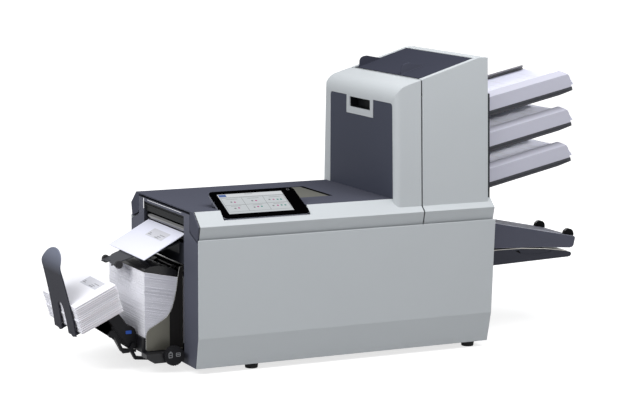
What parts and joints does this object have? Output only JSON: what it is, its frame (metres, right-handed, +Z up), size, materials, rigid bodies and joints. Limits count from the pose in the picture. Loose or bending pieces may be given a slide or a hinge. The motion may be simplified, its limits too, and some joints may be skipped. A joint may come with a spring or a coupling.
{
  "type": "folder inserter",
  "caption": "Tabletop paper folder and envelope inserter: sheet feeder trays on a tower, hinged hood with tilted display, side insert tray, envelope hopper and catch arm.",
  "frame": {"origin": "centre of the machine's bounding box, on the table under the feet", "axes": "+X from the envelope catch towards the sheet trays, +Y from the front face to the back, +Z up"},
  "size_m": [1.347, 0.42, 0.69],
  "materials": {
    "cover_grey": "satin",
    "deck_grey": "satin",
    "tray_grey": "satin",
    "guide_grey": "satin",
    "black_plastic": "satin",
    "display_black": "gloss",
    "window_smoke": "gloss",
    "button_metal": "satin",
    "sheet_steel": "satin",
    "dark_steel": "satin",
    "paper_white": "matte",
    "rubber_black": "matte",
    "motor_black": "matte",
    "board_green": "satin",
    "tank_clear": "satin"
  },
  "bodies": {
    "machine": {"base_tray": "sheet_steel", "rubber_feet": "rubber_black", "side_frames": "sheet_steel", "front_cover": "cover_grey", "rear_cover": "cover_grey", "left_end_frame": "deck_grey", "right_end_cover": "deck_grey", "tower_cover": "cover_grey", "tower_top_panel": "deck_grey", "feeder_panel": "tray_grey", "document_tray_1": "tray_grey", "document_tray_2": "tray_grey", "document_tray_3": "tray_grey", "paper_stacks": "paper_white", "insert_tray": "tray_grey", "exit_header": "black_plastic", "exit_slide": "dark_steel", "hopper_base": "black_plastic", "catch_bracket": "black_plastic", "hopper_envelopes": "paper_white", "finished_envelopes": "paper_white", "path_plates": "sheet_steel", "stepper_motors": "motor_black", "power_supply": "sheet_steel", "control_board": "board_green", "water_tank": "tank_clear", "mains_inlet": "black_plastic", "cover_screws": "sheet_steel", "hinge_pins": "sheet_steel"},
    "hood": {"hood_deck": "deck_grey", "hood_side_rails": "cover_grey", "tower_door": "cover_grey", "door_inlay": "deck_grey", "display_housing": "tray_grey", "display_glass": "display_black", "inspection_window": "window_smoke"},
    "power_button": {"power_button": "button_metal"},
    "front_guide_1": {"front_guide_1": "guide_grey"},
    "front_guide_2": {"front_guide_2": "guide_grey"},
    "front_guide_3": {"front_guide_3": "guide_grey"},
    "rear_guide_1": {"rear_guide_1": "guide_grey"},
    "rear_guide_2": {"rear_guide_2": "guide_grey"},
    "rear_guide_3": {"rear_guide_3": "guide_grey"},
    "hopper_front_guide": {"hopper_front_guide": "dark_steel"},
    "hopper_rear_guide": {"hopper_rear_guide": "dark_steel"},
    "envelope_weight": {"envelope_weight": "black_plastic"},
    "exit_idler_wheels": {"exit_idler_wheels": "rubber_black"},
    "setting_knob": {"setting_knob": "black_plastic"},
    "catch_paddle": {"catch_paddle": "tray_grey"},
    "exit_roller_upper": {"exit_roller_upper": "sheet_steel"},
    "exit_roller_lower": {"exit_roller_lower": "rubber_black"},
    "feed_roller_1": {"feed_roller_1": "rubber_black"},
    "feed_roller_2": {"feed_roller_2": "rubber_black"},
    "feed_roller_3": {"feed_roller_3": "rubber_black"},
    "fold_rollers_upper": {"fold_rollers_upper": "rubber_black"},
    "fold_rollers_lower": {"fold_rollers_lower": "rubber_black"},
    "envelope_feed_roller": {"envelope_feed_roller": "rubber_black"},
    "insert_stops": {"insert_stops": "black_plastic"},
    "divert_flap": {"divert_flap": "tray_grey"},
    "release_lever": {"release_lever": "dark_steel"}
  },
  "joints": [
    {"name": "hood_hinge", "type": "hinge", "parent": "machine", "child": "hood", "pos_m": [-0.3825, 0, 0.334], "axis": [0, -1, 0], "range_deg": [0, 60]},
    {"name": "power_button_press", "type": "slide", "parent": "hood", "child": "power_button", "axis": [0, 0.4226, -0.9063], "range_m": [0, 0.0012], "stiffness_N_per_m": 900, "springref_m": -0.0012},
    {"name": "front_guide_1_slide", "type": "slide", "parent": "machine", "child": "front_guide_1", "axis": [0, -1, 0], "range_m": [0, 0.012]},
    {"name": "rear_guide_1_slide", "type": "slide", "parent": "machine", "child": "rear_guide_1", "axis": [0, 1, 0], "range_m": [0, 0.012]},
    {"name": "front_guide_2_slide", "type": "slide", "parent": "machine", "child": "front_guide_2", "axis": [0, -1, 0], "range_m": [0, 0.012]},
    {"name": "rear_guide_2_slide", "type": "slide", "parent": "machine", "child": "rear_guide_2", "axis": [0, 1, 0], "range_m": [0, 0.012]},
    {"name": "front_guide_3_slide", "type": "slide", "parent": "machine", "child": "front_guide_3", "axis": [0, -1, 0], "range_m": [0, 0.012]},
    {"name": "rear_guide_3_slide", "type": "slide", "parent": "machine", "child": "rear_guide_3", "axis": [0, 1, 0], "range_m": [0, 0.012]},
    {"name": "hopper_front_guide_slide", "type": "slide", "parent": "machine", "child": "hopper_front_guide", "axis": [0, -1, 0], "range_m": [0, 0.02]},
    {"name": "hopper_rear_guide_slide", "type": "slide", "parent": "machine", "child": "hopper_rear_guide", "axis": [0, 1, 0], "range_m": [0, 0.02]},
    {"name": "envelope_weight_lift", "type": "hinge", "parent": "machine", "child": "envelope_weight", "pos_m": [-0.3865, 0, 0.224], "axis": [0, 1, 0], "range_deg": [0, 8]},
    {"name": "exit_idler_spin", "type": "hinge", "parent": "machine", "child": "exit_idler_wheels", "pos_m": [-0.5188, 0, 0.23713], "axis": [0, 1, 0], "continuous": true},
    {"name": "setting_knob_turn", "type": "hinge", "parent": "machine", "child": "setting_knob", "pos_m": [-0.4285, -0.149, 0.04], "axis": [0, 1, 0], "range_deg": [-135, 135]},
    {"name": "catch_slide", "type": "slide", "parent": "machine", "child": "catch_paddle", "axis": [-0.9063, 0, -0.4226], "range_m": [0, 0.04]},
    {"name": "exit_roller_upper_spin", "type": "hinge", "parent": "machine", "child": "exit_roller_upper", "pos_m": [-0.3785, 0, 0.3193], "axis": [0, 1, 0], "continuous": true},
    {"name": "exit_roller_lower_spin", "type": "hinge", "parent": "machine", "child": "exit_roller_lower", "pos_m": [-0.3785, 0, 0.3007], "axis": [0, 1, 0], "continuous": true},
    {"name": "feed_roller_1_spin", "type": "hinge", "parent": "machine", "child": "feed_roller_1", "pos_m": [0.33445, 0, 0.52923], "axis": [0, 1, 0], "continuous": true},
    {"name": "feed_roller_2_spin", "type": "hinge", "parent": "machine", "child": "feed_roller_2", "pos_m": [0.33445, 0, 0.44223], "axis": [0, 1, 0], "continuous": true},
    {"name": "feed_roller_3_spin", "type": "hinge", "parent": "machine", "child": "feed_roller_3", "pos_m": [0.33445, 0, 0.35523], "axis": [0, 1, 0], "continuous": true},
    {"name": "fold_upper_spin", "type": "hinge", "parent": "machine", "child": "fold_rollers_upper", "pos_m": [0.2575, 0, 0.262], "axis": [0, 1, 0], "continuous": true},
    {"name": "fold_lower_spin", "type": "hinge", "parent": "machine", "child": "fold_rollers_lower", "pos_m": [0.2575, 0, 0.2294], "axis": [0, 1, 0], "continuous": true},
    {"name": "envelope_feed_spin", "type": "hinge", "parent": "machine", "child": "envelope_feed_roller", "pos_m": [-0.3425, 0, 0.046], "axis": [0, 1, 0], "continuous": true},
    {"name": "insert_stops_slide", "type": "slide", "parent": "machine", "child": "insert_stops", "axis": [-0.9796, 0, 0.2011], "range_m": [0, 0.08]},
    {"name": "divert_flap_drop", "type": "hinge", "parent": "machine", "child": "divert_flap", "pos_m": [0.3625, 0, 0.186], "axis": [0, 1, 0], "range_deg": [0, 25]},
    {"name": "release_lever_pull", "type": "hinge", "parent": "machine", "child": "release_lever", "pos_m": [-0.5005, 0, 0.056], "axis": [0, 1, 0], "range_deg": [0, 35]}
  ],
  "couplings": [
    {"joint": "rear_guide_1_slide", "follows": "front_guide_1_slide", "ratio": 1},
    {"joint": "rear_guide_2_slide", "follows": "front_guide_2_slide", "ratio": 1},
    {"joint": "rear_guide_3_slide", "follows": "front_guide_3_slide", "ratio": 1},
    {"joint": "hopper_rear_guide_slide", "follows": "hopper_front_guide_slide", "ratio": 1},
    {"joint": "exit_roller_lower_spin", "follows": "exit_roller_upper_spin", "ratio": -1},
    {"joint": "fold_lower_spin", "follows": "fold_upper_spin", "ratio": -1}
  ]
}
